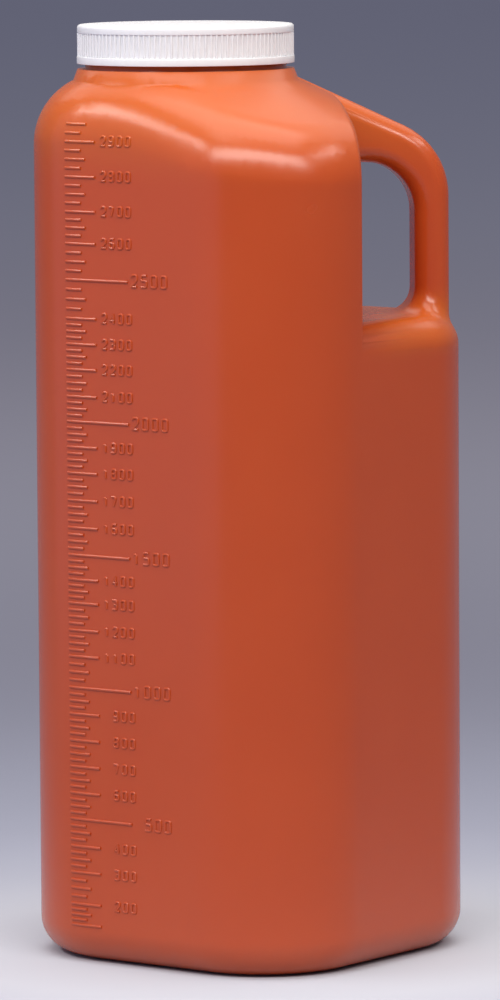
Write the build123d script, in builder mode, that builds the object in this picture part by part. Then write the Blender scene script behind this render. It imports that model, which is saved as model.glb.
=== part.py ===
"""A three litre 24-hour specimen jug with a screw cap.

The bottle is one blow moulding: a square body with large rounded corners, a conical
shoulder, a wide round neck set off towards one corner, and a hollow handle at the
opposite corner. The cap is an injection moulding with a ribbed skirt, and a foam
liner inside it seals on the neck's rim.

Millimetres, +Z up. The origin is the centre of the base. The XZ plane is the mould's
parting plane, a mirror plane of the bottle, with the handle towards +X, so the four
flat sides stand at 45 degrees to X and Y.
"""

import os
from math import cos, pi, radians, sin, sqrt, tan

from build123d import *

# Body
body_side = 116.0            # across two flat sides
corner_radius = 36.5         # the four upright corners
base_edge_radius = 11.0
bottle_wall = 1.2
inner_bevel = 0.75           # inside, a bevel this share of the radius stands in for it
foot_width = 25.0            # from a flat side in to the raised middle of the base
push_up_depth = 2.5
push_up_slope = 50.0         # degrees, the sides of the raised middle
pinch_off_width = 1.8        # the welded seam across the base
pinch_off_height = 0.8

# Shoulder and neck
neck_offset = 19.0           # from the body's centre line towards -X
shoulder_height = 275.0      # where the shoulder cone meets the collar
shoulder_slope = 25.0        # degrees below level
shoulder_radius = 22.0       # round edge between the shoulder and the sides
neck_radius = 31.5           # thread root
neck_wall = 1.6
neck_length = 11.1           # from the collar's top to the rim
rim_bevel = 0.4
collar_width = 2.5           # the flat of the collar round the neck
collar_height = 3.4
collar_flare = 20.0          # degrees from upright

# Handle and the recess behind it
grip_setback = 3.3           # from the body's corner in to the grip
grip_thickness = 11.0
finger_gap_width = 24.3      # from the grip to the upright wall that faces it
finger_gap_height = 47.6     # from the ledge to the underside of the handle's arm
arm_depth = 21.0             # from the shoulder cone down to the arm's underside, at the recess
handle_width = 19.0
handle_edge_radius = 5.3
handle_bend_radius = 24.5    # outside of the upper bend
finger_bend_radius = 15.7    # inside of the upper bend
handle_ridge = 0.3           # the arm's top stands this far above the shoulder cone
root_blend_radius = 8.0      # hollow curve where the grip meets the ledge
ledge_radius = 10.0
recess_edge_radius = 4.0

# Cap and liner
cap_height = 12.2
cap_top_thickness = 1.6
cap_wall = 1.1
cap_bevel = 0.8
thread_space = 1.5           # from the neck to the inside of the cap, where both threads run
lower_band_height = 2.3
upper_band_height = 2.6
upper_band_inset = 0.15      # the upper band is this much smaller in radius
rib_count = 120
rib_height = 0.35
rib_root_inset = 0.45        # rib roots lie this far inside the cap's radius
liner_thickness = 1.2
liner_clearance = 0.25       # round the liner's edge

# Heights and radii that follow
bore_radius = neck_radius - neck_wall
collar_radius = neck_radius + collar_width
collar_base_radius = collar_radius + collar_height * tan(radians(collar_flare))
collar_top = shoulder_height + collar_height
rim_height = collar_top + neck_length
cap_bore_radius = neck_radius + thread_space
cap_radius = cap_bore_radius + cap_wall
cap_top = rim_height + liner_thickness + cap_top_thickness
cap_bottom = cap_top - cap_height
body_corner = sqrt(2) * (body_side / 2 - corner_radius) + corner_radius
grip_reach = body_corner - grip_setback
grip_inside = grip_reach - grip_thickness
recess_wall = grip_inside - finger_gap_width
neck_axis = Axis((-neck_offset, 0, 0), (0, 0, 1))
buried = 2 * ledge_radius    # how far hidden ends run on inside the body
overlap = 1.0                # how far cuts and joins run past each other
near = 0.1                   # for telling edges apart


def shoulder_cone(radius):
    """Height of the shoulder cone at a radius from the neck's axis."""
    return shoulder_height - (radius - collar_base_radius) * tan(radians(shoulder_slope))


arm_underside = shoulder_cone(recess_wall + neck_offset) - arm_depth
ledge_height = arm_underside - finger_gap_height


def soften(edges, radius, inset):
    """Round edges on the outer form, and bevel them on the inner one."""
    if inset:
        chamfer(edges, inner_bevel * (radius - inset))
    else:
        fillet(edges, radius)


def body_outline(inset):
    """The body's rounded square, standing on its corner in plan."""
    side = body_side - 2 * inset
    with BuildSketch() as outline:
        RectangleRounded(side, side, corner_radius - inset, rotation=45)
    return outline.sketch


def lower_body(inset):
    """The full square body up to the ledge under the handle."""
    with BuildPart() as lower:
        with BuildSketch(Plane.XY.offset(inset)):
            add(body_outline(inset))
        extrude(amount=ledge_height - 2 * inset)
        soften(lower.faces().sort_by(Axis.Z)[0].edges(), base_edge_radius, inset)
        soften(lower.faces().sort_by(Axis.Z)[-1].edges(), ledge_radius, inset)
    return lower.part


def upper_body(inset):
    """The body and shoulder above the ledge, with the handle's corner cut away."""
    drop = inset / cos(radians(shoulder_slope))
    far_radius = body_side
    tip_radius = bore_radius / 4
    low = ledge_height - buried
    peak = shoulder_cone(tip_radius) - drop
    with BuildPart() as upper:
        with BuildSketch(Plane.XY.offset(low)):
            add(body_outline(inset))
        extrude(amount=peak + buried - low)
        with BuildSketch(Plane.XZ):
            with BuildLine():
                Polyline(
                    (-neck_offset, low - overlap),
                    (-neck_offset - far_radius, low - overlap),
                    (-neck_offset - far_radius, shoulder_cone(far_radius) - drop),
                    (-neck_offset - tip_radius, peak),
                    (-neck_offset, peak),
                    close=True,
                )
            make_face()
        revolve(axis=neck_axis, mode=Mode.INTERSECT)
        cone = upper.faces().filter_by(GeomType.CONE)[0]
        cone_foot = cone.edges().filter_by(
            lambda e: e.geom_type != GeomType.LINE and e.center().Z < peak - overlap
        )
        fillet(cone_foot, shoulder_radius - inset)
        split(bisect_by=Plane.YZ.offset(recess_wall - inset), keep=Keep.BOTTOM)
        wall_face = upper.faces().filter_by(Axis.X).sort_by(Axis.X)[-1]
        recess_rim = wall_face.edges().filter_by(lambda e: e.center().Z > low + overlap)
        soften(recess_rim, recess_edge_radius, inset)
    return upper.part


def handle(inset):
    """The handle's arm and grip, run on inside the body at both ends."""
    root = recess_wall - buried
    crown = handle_ridge / cos(radians(shoulder_slope))
    root_top = shoulder_cone(root + neck_offset) + crown
    corner_top = shoulder_cone(grip_reach + neck_offset) + crown
    low = ledge_height - buried + overlap
    with BuildPart() as hook:
        with BuildSketch(Plane.XZ):
            with BuildLine():
                FilletPolyline(
                    (root, root_top),
                    (grip_reach, corner_top),
                    (grip_reach, low),
                    radius=handle_bend_radius,
                )
                Line((grip_reach, low), (grip_inside, low))
                FilletPolyline(
                    (grip_inside, low),
                    (grip_inside, arm_underside),
                    (root, arm_underside),
                    radius=finger_bend_radius,
                )
                Line((root, arm_underside), (root, root_top))
            make_face()
            if inset:
                offset(amount=-inset, mode=Mode.REPLACE)
        extrude(amount=handle_width / 2 - inset, both=True)
        long_edges = hook.faces().filter_by(Axis.Y).edges().filter_by(
            lambda e: e.center().X > root + inset + near and e.center().Z > low + inset + near
        )
        soften(long_edges, handle_edge_radius, inset)
    return hook.part


def jug_form(inset):
    """The jug as a solid lump, every surface moved in by the inset."""
    with BuildPart() as form:
        add(lower_body(inset))
        add(upper_body(inset))
        add(handle(inset))
        if not inset:
            grip_foot = form.edges().filter_by(
                lambda e: abs(e.center().Y) < handle_width / 2 + overlap
                and grip_inside - overlap < e.center().X < grip_reach + overlap
                and ledge_height - ledge_radius + near < e.center().Z < ledge_height + near
            )
            fillet(grip_foot, root_blend_radius)
        base_middle = body_side - 2 * foot_width
        with BuildSketch(Plane.XY.offset(inset)):
            RectangleRounded(
                base_middle + 2 * inset, base_middle + 2 * inset, corner_radius - foot_width + inset,
                rotation=45,
            )
        extrude(amount=push_up_depth, taper=push_up_slope, mode=Mode.SUBTRACT)
    return form.part


# Bottle: the outer form with its neck, less the inner form and the bore.
neck_low = shoulder_height - ledge_radius
neck_foot_radius = collar_base_radius + overlap * tan(radians(collar_flare))
with BuildPart() as bottle:
    add(jug_form(0))
    with BuildSketch(Plane.XZ):
        with BuildLine():
            Polyline(
                (-neck_offset, neck_low),
                (-neck_offset + neck_foot_radius, neck_low),
                (-neck_offset + neck_foot_radius, shoulder_height - overlap),
                (-neck_offset + collar_radius, collar_top),
                (-neck_offset + neck_radius, collar_top),
                (-neck_offset + neck_radius, rim_height),
                (-neck_offset, rim_height),
                close=True,
            )
        make_face()
    revolve(axis=neck_axis)
    with Locations((0, 0, push_up_depth)):
        Box(
            body_side - 2 * foot_width, pinch_off_width, 2 * pinch_off_height,
            align=(Align.CENTER, Align.CENTER, Align.CENTER),
        )
    add(jug_form(bottle_wall), mode=Mode.SUBTRACT)
    with BuildSketch(Plane.XY.offset(neck_low)):
        with Locations((-neck_offset, 0)):
            Circle(bore_radius)
    extrude(amount=rim_height + overlap - neck_low, mode=Mode.SUBTRACT)
    rim = bottle.faces().filter_by(Axis.Z).sort_by(Axis.Z)[-1]
    chamfer(rim.edges(), rim_bevel)
bottle.part.label = "bottle"

# Cap: a turned shape with smooth bands, and a ribbed ring between them.
upper_band_bottom = cap_top - upper_band_height
lower_band_top = cap_bottom + lower_band_height
rib_root_radius = cap_radius - rib_root_inset
core_radius = (cap_bore_radius + rib_root_radius) / 2
with BuildPart() as cap:
    with BuildSketch(Plane.XZ):
        with BuildLine():
            Polyline(
                (-neck_offset, cap_top),
                (-neck_offset + cap_radius - upper_band_inset, cap_top),
                (-neck_offset + cap_radius - upper_band_inset, upper_band_bottom),
                (-neck_offset + core_radius, upper_band_bottom),
                (-neck_offset + core_radius, lower_band_top),
                (-neck_offset + cap_radius, lower_band_top),
                (-neck_offset + cap_radius, cap_bottom),
                (-neck_offset + cap_bore_radius, cap_bottom),
                (-neck_offset + cap_bore_radius, cap_top - cap_top_thickness),
                (-neck_offset, cap_top - cap_top_thickness),
                close=True,
            )
        make_face()
    revolve(axis=neck_axis)
    chamfer(cap.faces().filter_by(Axis.Z).sort_by(Axis.Z)[-1].edges(), cap_bevel)
    rib_points = []
    for step in range(2 * rib_count):
        radius = rib_root_radius + rib_height * (step % 2)
        angle = step * pi / rib_count
        rib_points.append((radius * cos(angle), radius * sin(angle)))
    with BuildSketch(Plane.XY.offset(lower_band_top)):
        with Locations((-neck_offset, 0)):
            Polygon(*rib_points, align=None)
            Circle((cap_bore_radius + core_radius) / 2, mode=Mode.SUBTRACT)
    extrude(amount=upper_band_bottom - lower_band_top)
cap.part.label = "cap"

# Liner: a foam disc between the cap's top and the rim.
with BuildPart() as cap_liner:
    with BuildSketch(Plane.XY.offset(rim_height)):
        with Locations((-neck_offset, 0)):
            Circle(cap_bore_radius - liner_clearance)
    extrude(amount=liner_thickness)
cap_liner.part.label = "cap_liner"

os.makedirs("parts", exist_ok=True)
export_step(bottle.part, "parts/bottle.step")
export_step(cap.part, "parts/cap.step")
export_step(cap_liner.part, "parts/cap_liner.step")
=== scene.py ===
"""The three litre 24-hour specimen jug, dressed in its materials and lit in a studio.

The sections follow the order in which the jug is put together. Metres, +Z up.
"""

import bpy
from math import cos, pi, radians, sin, tau
from mathutils import Matrix, Vector
from mathutils.bvhtree import BVHTree


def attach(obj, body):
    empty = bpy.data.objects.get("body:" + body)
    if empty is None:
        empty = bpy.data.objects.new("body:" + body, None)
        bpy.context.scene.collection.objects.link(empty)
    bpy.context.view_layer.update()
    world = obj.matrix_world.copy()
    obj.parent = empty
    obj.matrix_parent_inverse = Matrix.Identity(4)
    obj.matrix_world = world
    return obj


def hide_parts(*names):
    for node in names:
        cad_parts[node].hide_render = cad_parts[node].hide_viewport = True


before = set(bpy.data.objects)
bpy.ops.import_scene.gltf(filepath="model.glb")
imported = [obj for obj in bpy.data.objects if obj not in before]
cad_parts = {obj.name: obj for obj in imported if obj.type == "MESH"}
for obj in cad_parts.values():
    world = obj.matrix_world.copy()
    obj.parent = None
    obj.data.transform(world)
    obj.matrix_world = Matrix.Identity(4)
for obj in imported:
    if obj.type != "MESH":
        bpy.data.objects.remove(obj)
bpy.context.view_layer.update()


# ---------------------------------------------------------------------------
# The jug. One blow moulding in amber-orange high-density polyethylene, which
# keeps light from the specimen: body, shoulder, neck and hollow handle are one
# skin, 1.2 mm thick, pinched shut along a seam under the base.
# ---------------------------------------------------------------------------
MM = 0.001
WELD = 0.002 * MM             # corners closer than this are one corner
SOFT_EDGE = radians(38)       # edges flatter than this shade smoothly

scene = bpy.context.scene


def colour(code):
    """An sRGB hex colour as a linear RGBA value."""
    channels = [int(code[i:i + 2], 16) / 255 for i in (1, 3, 5)]
    return (*(c / 12.92 if c <= 0.04045 else ((c + 0.055) / 1.055) ** 2.4 for c in channels), 1.0)


def add_node(tree, kind, inputs=None, **settings):
    """Add a node to a tree: its inputs are values, or sockets to link them to."""
    added = tree.nodes.new(kind)
    for name, value in settings.items():
        setattr(added, name, value)
    for key, value in (inputs or {}).items():
        if isinstance(value, bpy.types.NodeSocket):
            tree.links.new(value, added.inputs[key])
        else:
            added.inputs[key].default_value = value
    return added


def calculate(tree, operation, *values):
    """The result of one Math node on values or sockets."""
    inputs = dict(enumerate(values))
    return add_node(tree, "ShaderNodeMath", inputs, operation=operation).outputs[0]


def map_range(tree, value, begin, end, low=0.0, high=1.0, shape="LINEAR"):
    """The value carried from the range begin to end over to the range low to high."""
    return add_node(tree, "ShaderNodeMapRange", {
        "Value": value, "From Min": begin, "From Max": end, "To Min": low, "To Max": high,
    }, interpolation_type=shape).outputs[0]


def new_material(name):
    """An empty material, its tree, and the socket that its shader goes to."""
    material = bpy.data.materials.new(name)
    material.use_nodes = True
    tree = material.node_tree
    tree.nodes.clear()
    return material, tree, add_node(tree, "ShaderNodeOutputMaterial").inputs["Surface"]


def colour_ramp(tree, factor, stops, blend="LINEAR"):
    """A ramp through hex colours at the places given from 0 to 1."""
    ramp = add_node(tree, "ShaderNodeValToRGB", {"Fac": factor})
    ramp.color_ramp.interpolation = blend
    elements = ramp.color_ramp.elements
    while len(elements) < len(stops):
        elements.new(1.0)
    for element, (place, code) in zip(elements, stops):
        element.position = place
        element.color = colour(code)
    return ramp.outputs["Color"]


def plain_object(name, mesh):
    """Link a mesh into the scene as an object at the origin."""
    made = bpy.data.objects.new(name, mesh)
    scene.collection.objects.link(made)
    return made


def bake_modifiers(name, source):
    """The source object's mesh with its modifiers in it, as a new plain object."""
    bpy.context.view_layer.update()
    graph = bpy.context.evaluated_depsgraph_get()
    mesh = bpy.data.meshes.new_from_object(source.evaluated_get(graph), depsgraph=graph)
    mesh.name = name
    bpy.data.objects.remove(source)
    return plain_object(name, mesh)


def skin_of(node):
    """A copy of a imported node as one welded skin: its flats flat and its rounds smooth."""
    copy = plain_object(node + "_copy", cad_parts[node].data.copy())
    weld = copy.modifiers.new("weld", "WELD")
    weld.merge_threshold = WELD
    welded = bake_modifiers(node + "_skin", copy)
    welded.data.shade_smooth()
    welded.data.set_sharp_from_angle(angle=SOFT_EDGE)
    weighted = welded.modifiers.new("flats", "WEIGHTED_NORMAL")
    weighted.keep_sharp = True
    return bake_modifiers(node + "_skin", welded)


# Blow-moulded HDPE: a waxy, satin skin that lets light a few millimetres in. It was blown
# against a sand-blasted mould, which gives the eye a fine even grain and no mirror shine.
GRAIN = 0.7 * MM              # coarser than the mould's real 0.1 mm, so that it shows
MOTTLE = 35 * MM              # how far apart the resin's thicker and thinner places lie
SEAM_HALF_WIDTH = 0.35 * MM   # the mould's parting line, all round the jug at Y = 0

# Painted light: a lighter, yellower tone is painted over the shoulder and at the ledge under
# the handle, where they face the lamps above. Each pair is where that begins and where it is
# complete.
SHOULDER_RISE = (242 * MM, 268 * MM)
LEDGE_HEIGHT = 199 * MM
LEDGE_DISTANCE = (12 * MM, 1 * MM)
HANDLE_SIDE = (25 * MM, 45 * MM)
GRAIN_DEPTH = 0.03 * MM
SEAM_RELIEF = 2.0             # the seam's height, in grains
SMOOTHEST, ROUGHEST = 0.20, 0.30

hdpe, tree, surface = new_material("blow_moulded_amber_hdpe")
place = add_node(tree, "ShaderNodeTexCoord").outputs["Object"]
mottle = add_node(tree, "ShaderNodeTexNoise", {
    "Vector": place, "Scale": 1 / MOTTLE, "Detail": 3.0,
})
thick = colour_ramp(tree, mottle.outputs["Fac"], ((0.20, "#B3451A"), (0.80, "#B7481C")))
axes = add_node(tree, "ShaderNodeSeparateXYZ", {"Vector": place}).outputs
over_shoulder = map_range(tree, axes["Z"], *SHOULDER_RISE, shape="SMOOTHSTEP")
from_ledge = calculate(tree, "ABSOLUTE", calculate(tree, "SUBTRACT", axes["Z"], LEDGE_HEIGHT))
at_ledge = map_range(tree, from_ledge, *LEDGE_DISTANCE, shape="SMOOTHSTEP")
by_handle = map_range(tree, axes["X"], *HANDLE_SIDE, high=at_ledge, shape="SMOOTHSTEP")
painted_light_mask = calculate(tree, "MAXIMUM", over_shoulder, by_handle)
# Painted light: the mottled resin turns to a lighter painted tone over the lit shoulder and ledge.
resin_and_painted_light = add_node(tree, "ShaderNodeMix", {
    "Factor": painted_light_mask, 6: thick, 7: colour("#C1591D"),
}, data_type="RGBA").outputs[2]
grain = add_node(tree, "ShaderNodeTexNoise", {"Vector": place, "Scale": 1 / GRAIN, "Detail": 2.0})
off_seam = calculate(tree, "ABSOLUTE", axes["Y"])
seam = map_range(tree, off_seam, 0.0, SEAM_HALF_WIDTH, 1.0, 0.0)
relief = calculate(tree, "MULTIPLY_ADD", seam, SEAM_RELIEF, grain.outputs["Fac"])
bump = add_node(tree, "ShaderNodeBump", {
    "Height": relief, "Strength": 0.25, "Distance": GRAIN_DEPTH,
})
roughness = map_range(tree, mottle.outputs["Fac"], 0.0, 1.0, SMOOTHEST, ROUGHEST)
shader = add_node(tree, "ShaderNodeBsdfPrincipled", {
    "Base Color": resin_and_painted_light,
    "Roughness": roughness,
    "Normal": bump.outputs[0],
    "IOR": 1.54,
    "Subsurface Weight": 0.12,
    "Subsurface Radius": (1.0, 0.35, 0.15),
    "Subsurface Scale": 2.5 * MM,
})
tree.links.new(shader.outputs[0], surface)

jug = skin_of("bottle")
jug.name = "jug"
jug.data.materials.clear()
jug.data.materials.append(hdpe)
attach(jug, "bottle")
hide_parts("bottle")


# ---------------------------------------------------------------------------
# The scale. Ridges and numerals cut into one flat side of the mould stand proud
# of the HDPE, in millilitres: a short mark every 25, longer ones at 50 and 100,
# and the longest at 500. They lie wider apart beside the handle's recess.
# ---------------------------------------------------------------------------
BODY_SIDE = 116 * MM
SCALE_LEFT = -26.9 * MM       # along the flat side, from its middle
# The height above the base of each hundred millilitres, in mm, from 100 ml to 3000 ml. The
# engraver spaced them wider from 2400 ml up, beside the handle's recess.
LEVELS = (
    12.1, 18.7, 28.7, 36.9, 45.5, 53.7, 62.0, 70.3, 78.6, 86.9,
    96.7, 104.9, 113.4, 120.8, 128.5, 137.0, 145.6, 154.1, 162.2, 170.2,
    178.0, 186.4, 194.3, 202.3, 214.3, 225.5, 235.4, 246.2, 257.1, 267.9,
)
PER_MARK = 25                 # millilitres
FIRST_MARK = 4                # the lowest, at 100 ml
LAST_MARK = 118
MARKS_PER_LEVEL = 4
MARK_LENGTHS = {20: 24.4 * MM, 4: 11.9 * MM, 2: 8.0 * MM, 1: 6.3 * MM}  # every so many marks
LARGE_EVERY = 20              # marks, from one large numeral to the next
MARK_STEPS = 8                # a mark bends with the wall at so many places
RIDGE_RADIUS = 0.50 * MM
RIDGE_PROUD = 0.50 * MM       # how far a ridge stands above the wall
RIDGE_FLATS = 12              # the cutter left narrow flats, which catch the light
FLAT_EDGE = radians(20)


def mark_height(mark):
    """The height above the base of a mark, counted in steps of 25 ml."""
    level, part = divmod(mark - MARKS_PER_LEVEL, MARKS_PER_LEVEL)
    return (LEVELS[level] + (LEVELS[level + 1] - LEVELS[level]) * part / MARKS_PER_LEVEL) * MM


def new_tree(name, sizes):
    """A Geometry Nodes tree that takes a mesh and named sizes: it, its inputs and its end."""
    made = bpy.data.node_groups.new(name, "GeometryNodeTree")
    made.interface.new_socket("Geometry", in_out="INPUT", socket_type="NodeSocketGeometry")
    for size, kind in sizes.items():
        made.interface.new_socket(size, in_out="INPUT", socket_type="NodeSocket" + kind)
    made.interface.new_socket("Geometry", in_out="OUTPUT", socket_type="NodeSocketGeometry")
    inputs = add_node(made, "NodeGroupInput").outputs
    return made, inputs, add_node(made, "NodeGroupOutput").inputs[0]


def end_tree(tree, geometry, sizes, end):
    """Realize the instances, set the material and link the result to the tree's end."""
    real = add_node(tree, "GeometryNodeRealizeInstances", {0: geometry})
    dressed = add_node(tree, "GeometryNodeSetMaterial", {
        0: real.outputs[0], "Material": sizes["Material"],
    })
    tree.links.new(dressed.outputs[0], end)


def grow(name, tree, sizes, seed_mesh=None):
    """Run a tree with its sizes on a mesh, and keep what it makes as a plain mesh."""
    seed = plain_object(name + "_seed", seed_mesh or bpy.data.meshes.new(name + "_seed"))
    modifier = seed.modifiers.new(tree.name, "NODES")
    modifier.node_group = tree
    for item in tree.interface.items_tree:
        if item.in_out == "INPUT" and item.name in sizes:
            modifier[item.identifier] = sizes[item.name]
    return bake_modifiers(name, seed)


def path_mesh(name, paths):
    """A mesh of open lines, each through its own points."""
    points, edges = [], []
    for path in paths:
        edges += [(len(points) + i, len(points) + i + 1) for i in range(len(path) - 1)]
        points += path
    mesh = bpy.data.meshes.new(name)
    mesh.from_pydata(points, edges, [])
    return mesh


def smooth_all(piece, angle=SOFT_EDGE):
    """Shade a piece smoothly across its flatter edges."""
    piece.data.shade_smooth()
    piece.data.set_sharp_from_angle(angle=angle)


# One tree sweeps a round ridge along every line of a mesh, turning sharp bends into arcs.
ridges, sizes, end = new_tree("moulded_ridges", {
    "Ridge radius": "Float", "Bend radius": "Float", "Sides": "Int", "Material": "Material",
})
lines = add_node(ridges, "GeometryNodeMeshToCurve", {"Mesh": sizes["Geometry"]})
bent = add_node(ridges, "GeometryNodeFilletCurve", {
    "Curve": lines.outputs[0], "Count": 3, "Radius": sizes["Bend radius"], "Limit Radius": True,
}, mode="POLY")
section = add_node(ridges, "GeometryNodeCurvePrimitiveCircle", {
    "Radius": sizes["Ridge radius"], "Resolution": sizes["Sides"],
})
turned = add_node(ridges, "GeometryNodeTransform", {
    0: section.outputs[0], "Rotation": (0.0, 0.0, pi / RIDGE_FLATS),
})
swept = add_node(ridges, "GeometryNodeCurveToMesh", {
    "Curve": bent.outputs[0], "Profile Curve": turned.outputs[0], "Fill Caps": True,
})
end_tree(ridges, swept.outputs[0], sizes, end)

# Points on the flat side are given as (along, up). They are found by looking at the skin
# from outside, so that the highest ones follow it where it rounds over to the shoulder.
SIDE_TURN = Matrix.Rotation(radians(-45), 4, "Z")
INWARD = SIDE_TURN @ Vector((0, 1, 0))
skin_shape = BVHTree.FromPolygons(
    [vertex.co for vertex in jug.data.vertices],
    [face.vertices for face in jug.data.polygons],
)


def on_side(along, up):
    """A point on the graduated side, sunk so that a ridge stands as proud as it should."""
    spot, normal, _, _ = skin_shape.ray_cast(SIDE_TURN @ Vector((along, -BODY_SIDE, up)), INWARD)
    return spot - normal * (RIDGE_RADIUS - RIDGE_PROUD)


marks = []
for mark in range(FIRST_MARK, LAST_MARK + 1):
    length = next(MARK_LENGTHS[every] for every in MARK_LENGTHS if mark % every == 0)
    marks.append([
        on_side(SCALE_LEFT + length * i / MARK_STEPS, mark_height(mark))
        for i in range(MARK_STEPS + 1)
    ])
scale_marks = grow("scale_marks", ridges, {
    "Ridge radius": RIDGE_RADIUS, "Bend radius": 0.0, "Sides": RIDGE_FLATS, "Material": hdpe,
}, path_mesh("scale_mark_lines", marks))

# Numerals as a mould engraver cuts them, one stroke wide, on a grid 2 wide and 4 high.
STROKES = {
    "0": [
        [(0, 1), (0, 3), (0, 4), (1, 4), (2, 4), (2, 3), (2, 1), (2, 0), (1, 0), (0, 0), (0, 1)],
    ],
    "1": [[(0.3, 3.1), (1, 4), (1, 0)]],
    "2": [[(0, 3.2), (0, 4), (2, 4), (2, 2.3), (0, 0)], [(0, 0), (2, 0)]],
    "3": [[(0, 4), (2, 4), (2, 2), (0.7, 2)], [(1, 2), (2, 2), (2, 0), (0, 0)]],
    "4": [[(1.5, 0), (1.5, 4)], [(1.5, 4), (0, 1.2)], [(0, 1.2), (2, 1.2)]],
    "5": [[(2, 4), (0, 4), (0, 2.2), (2, 2.2), (2, 0), (0, 0)]],
    "6": [[(2, 4), (0, 4), (0, 0), (2, 0), (2, 2.2), (0, 2.2)]],
    "7": [[(0, 4), (2, 4), (0.8, 0)]],
    "8": [[(0, 2.1), (0, 4), (2, 4), (2, 2.1), (0, 2.1), (0, 0), (2, 0), (2, 2.1)]],
    "9": [[(2, 1.8), (0, 1.8), (0, 4), (2, 4), (2, 0), (0, 0)]],
}
SMALL_HEIGHT = 2.9 * MM
SMALL_PITCH = 3.2 * MM
SMALL_RIGHT = -1.3 * MM       # numerals line up on the right, along the flat side
LARGE_HEIGHT = 3.6 * MM
LARGE_PITCH = 3.8 * MM
LARGE_RIGHT = 12.5 * MM
DIGIT_WIDTH = 0.58            # of its height
FIRST_NUMERAL = 8             # the mark of 200 ml: the lowest mark has none
NUMERAL_RISE = 0.4 * MM       # its middle above its mark's
STROKE_RADIUS = 0.42 * MM
STROKE_BEND = 0.6 * MM

strokes = []
for mark in range(FIRST_NUMERAL, LAST_MARK + 1, MARKS_PER_LEVEL):
    large = mark % LARGE_EVERY == 0
    height = LARGE_HEIGHT if large else SMALL_HEIGHT
    pitch = LARGE_PITCH if large else SMALL_PITCH
    width = height * DIGIT_WIDTH
    digits = str(mark * PER_MARK)
    left = (LARGE_RIGHT if large else SMALL_RIGHT) - pitch * (len(digits) - 1) - width
    foot = mark_height(mark) + NUMERAL_RISE - height / 2
    for i, digit in enumerate(digits):
        for stroke in STROKES[digit]:
            strokes.append([
                on_side(left + pitch * i + x * width / 2, foot + y * height / 4) for x, y in stroke
            ])
scale_numerals = grow("scale_numerals", ridges, {
    "Ridge radius": STROKE_RADIUS, "Bend radius": STROKE_BEND, "Sides": RIDGE_FLATS,
    "Material": hdpe,
}, path_mesh("numeral_lines", strokes))

for piece in (scale_marks, scale_numerals):
    smooth_all(piece, FLAT_EDGE)
    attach(piece, "bottle")


# ---------------------------------------------------------------------------
# The neck's thread. One right-handed ridge, formed by the mould in the same
# HDPE, winds a turn and three quarters round the neck and fades at its ends.
# The cap's ridge turns in the groove that it leaves.
# ---------------------------------------------------------------------------
NECK_X = -19.0 * MM
NECK_RADIUS = 31.5 * MM
RIM_HEIGHT = 289.5 * MM
THREAD_PITCH = 4.233 * MM
THREAD_TURNS = 1.75
NECK_RIDGE = 1.15 * MM
THREAD_BELOW_RIM = 9.2 * MM   # where the ridge starts
SPIRAL_STEPS = 120            # in each turn
FADE_FROM, FADE_TO = 0.44, 0.5   # of the ridge's length, from its middle
LAST_THICKNESS = 0.1          # of the full ridge, at its very end

# One tree winds a tapering ridge round the neck's axis; it serves the neck and the cap.
thread, sizes, end = new_tree("screw_thread", {
    "Turns": "Float", "Radius": "Float", "Rise": "Float", "Ridge radius": "Float",
    "Start": "Vector", "Material": "Material",
})
spiral = add_node(thread, "GeometryNodeCurveSpiral", {
    "Resolution": SPIRAL_STEPS, "Rotations": sizes["Turns"], "Start Radius": sizes["Radius"],
    "End Radius": sizes["Radius"], "Height": sizes["Rise"], "Reverse": True,
})
along = add_node(thread, "GeometryNodeSplineParameter").outputs["Factor"]
from_middle = calculate(thread, "ABSOLUTE", calculate(thread, "SUBTRACT", along, 0.5))
fade = map_range(thread, from_middle, FADE_FROM, FADE_TO, 1.0, LAST_THICKNESS, "SMOOTHSTEP")
tapered = add_node(thread, "GeometryNodeSetCurveRadius", {0: spiral.outputs[0], "Radius": fade})
section = add_node(thread, "GeometryNodeCurvePrimitiveCircle", {
    "Radius": sizes["Ridge radius"], "Resolution": 12,
})
swept = add_node(thread, "GeometryNodeCurveToMesh", {
    "Curve": tapered.outputs[0], "Profile Curve": section.outputs[0], "Fill Caps": True,
})
placed = add_node(thread, "GeometryNodeTransform", {
    0: swept.outputs[0], "Translation": sizes["Start"],
})
end_tree(thread, placed.outputs[0], sizes, end)

neck_thread = grow("neck_thread", thread, {
    "Turns": THREAD_TURNS, "Radius": NECK_RADIUS, "Rise": THREAD_TURNS * THREAD_PITCH,
    "Ridge radius": NECK_RIDGE, "Start": (NECK_X, 0.0, RIM_HEIGHT - THREAD_BELOW_RIM),
    "Material": hdpe,
})
smooth_all(neck_thread)
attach(neck_thread, "bottle")


# ---------------------------------------------------------------------------
# The liner. A disc punched from white closed-cell polyethylene foam sheet is
# pushed up into the cap, and it seals when the neck's rim presses into it.
# ---------------------------------------------------------------------------
CELL = 0.5 * MM               # the foam's cells

foam, tree, surface = new_material("closed_cell_polyethylene_foam")
place = add_node(tree, "ShaderNodeTexCoord").outputs["Object"]
cells = add_node(tree, "ShaderNodeTexVoronoi", {"Vector": place, "Scale": 1 / CELL})
bump = add_node(tree, "ShaderNodeBump", {
    "Height": cells.outputs["Distance"], "Strength": 0.4, "Distance": 0.06 * MM,
})
shader = add_node(tree, "ShaderNodeBsdfPrincipled", {
    "Base Color": colour_ramp(
        tree, cells.outputs["Distance"], ((0.0, "#F4F3F1"), (0.8, "#E4E3E0")),
    ),
    "Roughness": 0.75,
    "Normal": bump.outputs[0],
    "IOR": 1.45,
})
tree.links.new(shader.outputs[0], surface)

liner = skin_of("cap_liner")
liner.name = "foam_liner"
liner.data.materials.clear()
liner.data.materials.append(foam)
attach(liner, "liner")
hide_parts("cap_liner")


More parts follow.
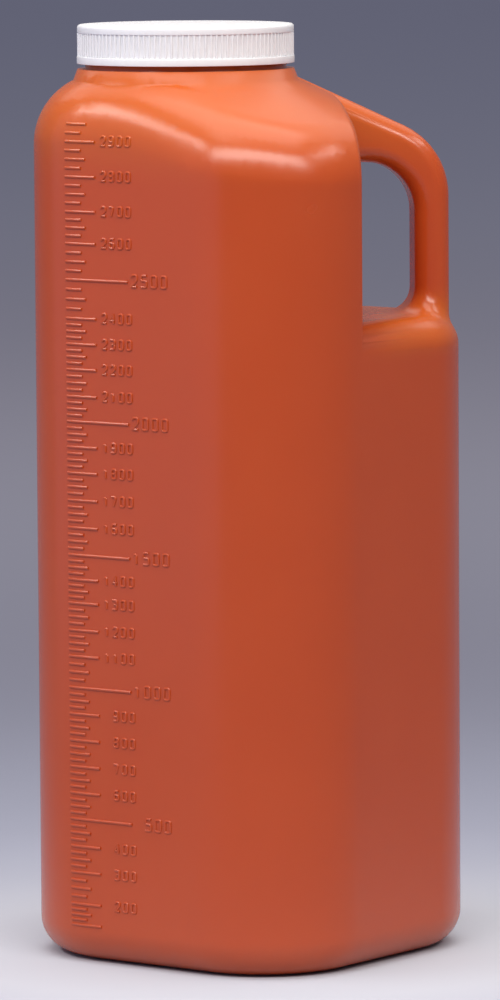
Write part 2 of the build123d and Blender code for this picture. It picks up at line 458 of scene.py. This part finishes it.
# ---------------------------------------------------------------------------
# The cap. Injection moulded in white polypropylene: a shell with a smooth band
# at the top and one at the foot, 120 grip ribs between them, and a thread inside.
# It screws down on the neck, and the ribs are moulded with it in one piece.
# ---------------------------------------------------------------------------
CAP_TOP = 292.3 * MM
CAP_FOOT = 280.1 * MM
CAP_RADIUS = 34.1 * MM
CAP_BORE = 33.0 * MM
CAP_CEILING = 290.7 * MM
TOP_BAND_RADIUS = 33.95 * MM
TOP_BAND_FOOT = 289.7 * MM
LOW_BAND_TOP = 282.4 * MM
WAIST_RADIUS = 33.5 * MM      # the wall between the ribs
TOP_ROUND = 1.0 * MM
RIB_COUNT = 120
RIB_RADIUS = 0.36 * MM
RIB_CREST = 33.95 * MM
RIB_SIDES = 12
CAP_SEGMENTS = 240
ARC_STEPS = 6                 # in the round of the cap's top edge
CAP_RIDGE = 0.7 * MM
CAP_RIDGE_RING = 32.7 * MM    # sunk in the wall, but short of its outer face
SMALL_ROUND = 0.2 * MM

# Injection-moulded polypropylene: milky, smooth and a little glossy, with light soaking
# in at the thin bands. A polished mould leaves only a faint orange peel.
PEEL = 3.0 * MM

polypropylene, tree, surface = new_material("injection_moulded_white_polypropylene")
place = add_node(tree, "ShaderNodeTexCoord").outputs["Object"]
peel = add_node(tree, "ShaderNodeTexNoise", {"Vector": place, "Scale": 1 / PEEL, "Detail": 2.0})
bump = add_node(tree, "ShaderNodeBump", {
    "Height": peel.outputs["Fac"], "Strength": 0.15, "Distance": 0.02 * MM,
})
shader = add_node(tree, "ShaderNodeBsdfPrincipled", {
    "Base Color": colour_ramp(tree, peel.outputs["Fac"], ((0.3, "#E5E5E7"), (0.7, "#E9E9EB"))),
    "Roughness": 0.32,
    "Normal": bump.outputs[0],
    "IOR": 1.49,
    "Subsurface Weight": 0.2,
    "Subsurface Radius": (1.0, 0.95, 0.9),
    "Subsurface Scale": 1.2 * MM,
})
tree.links.new(shader.outputs[0], surface)

top_arc = []
for step in range(ARC_STEPS + 1):
    turn = step * pi / 2 / ARC_STEPS
    top_arc.append((
        TOP_BAND_RADIUS - TOP_ROUND * (1 - sin(turn)), CAP_TOP - TOP_ROUND * (1 - cos(turn)),
    ))
profile = [(0.0, CAP_TOP)] + top_arc + [
    (TOP_BAND_RADIUS, TOP_BAND_FOOT), (WAIST_RADIUS, TOP_BAND_FOOT),
    (WAIST_RADIUS, LOW_BAND_TOP), (CAP_RADIUS, LOW_BAND_TOP), (CAP_RADIUS, CAP_FOOT),
    (CAP_BORE, CAP_FOOT), (CAP_BORE, CAP_CEILING), (0.0, CAP_CEILING),
]
profile_points = [Vector((radius, 0, height)) for radius, height in profile]
profile_line = plain_object("cap_profile", path_mesh("cap_profile", [profile_points]))
turned = profile_line.modifiers.new("turned", "SCREW")
turned.steps = turned.render_steps = CAP_SEGMENTS
turned.use_merge_vertices = True
turned.merge_threshold = WELD
turned.use_normal_calculate = True
edges = profile_line.modifiers.new("moulded_edges", "BEVEL")
edges.limit_method = "ANGLE"
edges.angle_limit = radians(60)
edges.width = SMALL_ROUND
edges.segments = 3
cap_shell = bake_modifiers("screw_cap", profile_line)

# One tree stands a rib at each point of a ring.
ribbing, sizes, end = new_tree("grip_ribs", {
    "Count": "Int", "Ring radius": "Float", "Rib radius": "Float", "Rib length": "Float",
    "Centre": "Vector", "Material": "Material",
})
ring = add_node(ribbing, "GeometryNodeMeshCircle", {
    "Vertices": sizes["Count"], "Radius": sizes["Ring radius"],
})
rib = add_node(ribbing, "GeometryNodeMeshCylinder", {
    "Vertices": RIB_SIDES, "Radius": sizes["Rib radius"], "Depth": sizes["Rib length"],
})
ribs = add_node(ribbing, "GeometryNodeInstanceOnPoints", {
    "Points": ring.outputs[0], "Instance": rib.outputs[0],
})
placed = add_node(ribbing, "GeometryNodeTransform", {
    0: ribs.outputs[0], "Translation": sizes["Centre"],
})
end_tree(ribbing, placed.outputs[0], sizes, end)

cap_ribs = grow("cap_grip_ribs", ribbing, {
    "Count": RIB_COUNT, "Ring radius": RIB_CREST - RIB_RADIUS, "Rib radius": RIB_RADIUS,
    "Rib length": TOP_BAND_FOOT - LOW_BAND_TOP,
    "Centre": (NECK_X, 0.0, (TOP_BAND_FOOT + LOW_BAND_TOP) / 2), "Material": polypropylene,
})
cap_thread = grow("cap_thread", thread, {
    "Turns": 1.0, "Radius": CAP_RIDGE_RING, "Rise": THREAD_PITCH, "Ridge radius": CAP_RIDGE,
    "Start": (NECK_X, 0.0, RIM_HEIGHT - THREAD_BELOW_RIM + THREAD_PITCH / 2),
    "Material": polypropylene,
})
cap_shell.data.transform(Matrix.Translation((NECK_X, 0.0, 0.0)))
cap_shell.data.materials.append(polypropylene)
for piece in (cap_shell, cap_ribs, cap_thread):
    smooth_all(piece)
    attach(piece, "cap")
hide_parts("cap")


# ---------------------------------------------------------------------------
# The studio. The jug stands on a plain pale floor, painted with light that falls off
# to a soft blue-grey round it, under a long front strip, softboxes above and behind,
# a strip at each side and a cool card on the left.
# ---------------------------------------------------------------------------
FLOOR_RADIUS = 14.0
FLOOR_SIDES = 64
FLOOR_DROP = 0.1 * MM         # so that the jug's foot and the floor don't share a face
NEAR, FAR = 0.10, 10.0        # where the floor's colour starts and stops changing

paper, tree, surface = new_material("matt_background_paper")
place = add_node(tree, "ShaderNodeTexCoord").outputs["Object"]
reach = add_node(tree, "ShaderNodeVectorMath", {0: place}, operation="LENGTH").outputs["Value"]
nearness = calculate(tree, "DIVIDE", reach, NEAR)
steps = calculate(tree, "LOGARITHM", nearness, FAR / NEAR)
# Painted light: pale near the jug, darker blue-grey further out and lighter again far off, as
# light falls off.
painted_falloff_colour = colour_ramp(tree, steps, (
    (0.0, "#C2C6CF"), (0.10, "#ABAEBC"), (0.20, "#9A9DAD"), (0.34, "#7F8190"), (0.46, "#7D7E8D"),
    (0.58, "#9FA0B0"), (0.70, "#D0CEDE"), (0.80, "#E3E5F5"), (1.0, "#D3D5EA"),
), "B_SPLINE")
lit = add_node(tree, "ShaderNodeBsdfDiffuse", {"Color": painted_falloff_colour})
tree.links.new(lit.outputs[0], surface)

turns = [tau * i / FLOOR_SIDES for i in range(FLOOR_SIDES)]
rim_points = [(FLOOR_RADIUS * cos(a), FLOOR_RADIUS * sin(a), -FLOOR_DROP) for a in turns]
floor_mesh = bpy.data.meshes.new("floor")
floor_mesh.from_pydata(rim_points, [], [list(range(FLOOR_SIDES))])
floor = plain_object("floor", floor_mesh)
floor.data.materials.append(paper)

world = bpy.data.worlds.new("studio")
scene.world = world
world.use_nodes = True
world_tree = world.node_tree
world_tree.nodes.clear()
seen = add_node(world_tree, "ShaderNodeLightPath").outputs["Is Camera Ray"]
room = add_node(world_tree, "ShaderNodeMix", {
    "Factor": seen, 6: colour("#75757E"), 7: colour("#60627A"),
}, data_type="RGBA")
light = add_node(world_tree, "ShaderNodeBackground", {"Color": room.outputs[2], "Strength": 1.0})
world_out = add_node(world_tree, "ShaderNodeOutputWorld")
world_tree.links.new(light.outputs[0], world_out.inputs["Surface"])


LIT_HEIGHT = 0.16             # what the lamps aim at
WARM_WHITE = "#FFFAF4"
COOL_WHITE = "#C0CAFF"


def softbox(name, width, depth, azimuth, elevation, distance, power, shade):
    """A soft panel that faces the jug's middle; azimuth 0 is -Y and turns towards +X."""
    lamp = bpy.data.lights.new(name, "AREA")
    lamp.shape = "RECTANGLE"
    lamp.size, lamp.size_y = width, depth
    lamp.energy = power
    lamp.color = colour(shade)[:3]
    panel = bpy.data.objects.new(name, lamp)
    panel.visible_camera = False
    scene.collection.objects.link(panel)
    a, e = radians(azimuth), radians(elevation)
    towards = Vector((sin(a) * cos(e), -cos(a) * cos(e), sin(e)))
    panel.location = Vector((0, 0, LIT_HEIGHT)) + towards * distance
    panel.rotation_euler = towards.to_track_quat("Z", "Y").to_euler()


softbox("front_strip", 2.5, 0.35, -5, 44, 1.5, 27, WARM_WHITE)
softbox("ceiling", 2.4, 1.4, 170, 60, 1.5, 10, WARM_WHITE)
softbox("zenith", 1.4, 0.8, 0, 84, 1.3, 9, WARM_WHITE)
softbox("left_strip", 0.9, 0.22, -87, 41, 1.5, 5.5, WARM_WHITE)
softbox("right_strip", 0.9, 0.2, 78, 42, 1.5, 3, WARM_WHITE)
softbox("cool_card", 1.0, 0.7, -83, 13, 0.7, 0.9, COOL_WHITE)


# ---------------------------------------------------------------------------
# The camera. It stands two metres off, a little above the jug's shoulder, with
# a long lens that keeps the jug's upright sides almost parallel.
# ---------------------------------------------------------------------------
CAMERA_AZIMUTH = radians(-8.13)
CAMERA_ELEVATION = radians(5.89)
CAMERA_DISTANCE = 2095.6 * MM
CAMERA_LENS = 238.9           # millimetres
CAMERA_ROLL = -0.00662        # radians
CAMERA_SIGHT = 50             # metres
AIM_HEIGHT = 141.98 * MM
AIM_SIDEWAYS = 0.43 * MM

back = Vector((
    sin(CAMERA_AZIMUTH) * cos(CAMERA_ELEVATION),
    -cos(CAMERA_AZIMUTH) * cos(CAMERA_ELEVATION),
    sin(CAMERA_ELEVATION),
))
level_right = Vector((cos(CAMERA_AZIMUTH), sin(CAMERA_AZIMUTH), 0.0))
level_up = back.cross(level_right)
right = cos(CAMERA_ROLL) * level_right + sin(CAMERA_ROLL) * level_up
up = back.cross(right)
camera = bpy.data.objects.new("camera", bpy.data.cameras.new("camera"))
scene.collection.objects.link(camera)
camera.data.lens = CAMERA_LENS
camera.data.clip_end = CAMERA_SIGHT
stand = Vector((0, 0, AIM_HEIGHT)) + back * CAMERA_DISTANCE + level_right * AIM_SIDEWAYS
camera.matrix_world = Matrix.Translation(stand) @ Matrix((right, up, back)).transposed().to_4x4()
scene.camera = camera
scene.view_settings.view_transform = "Standard"
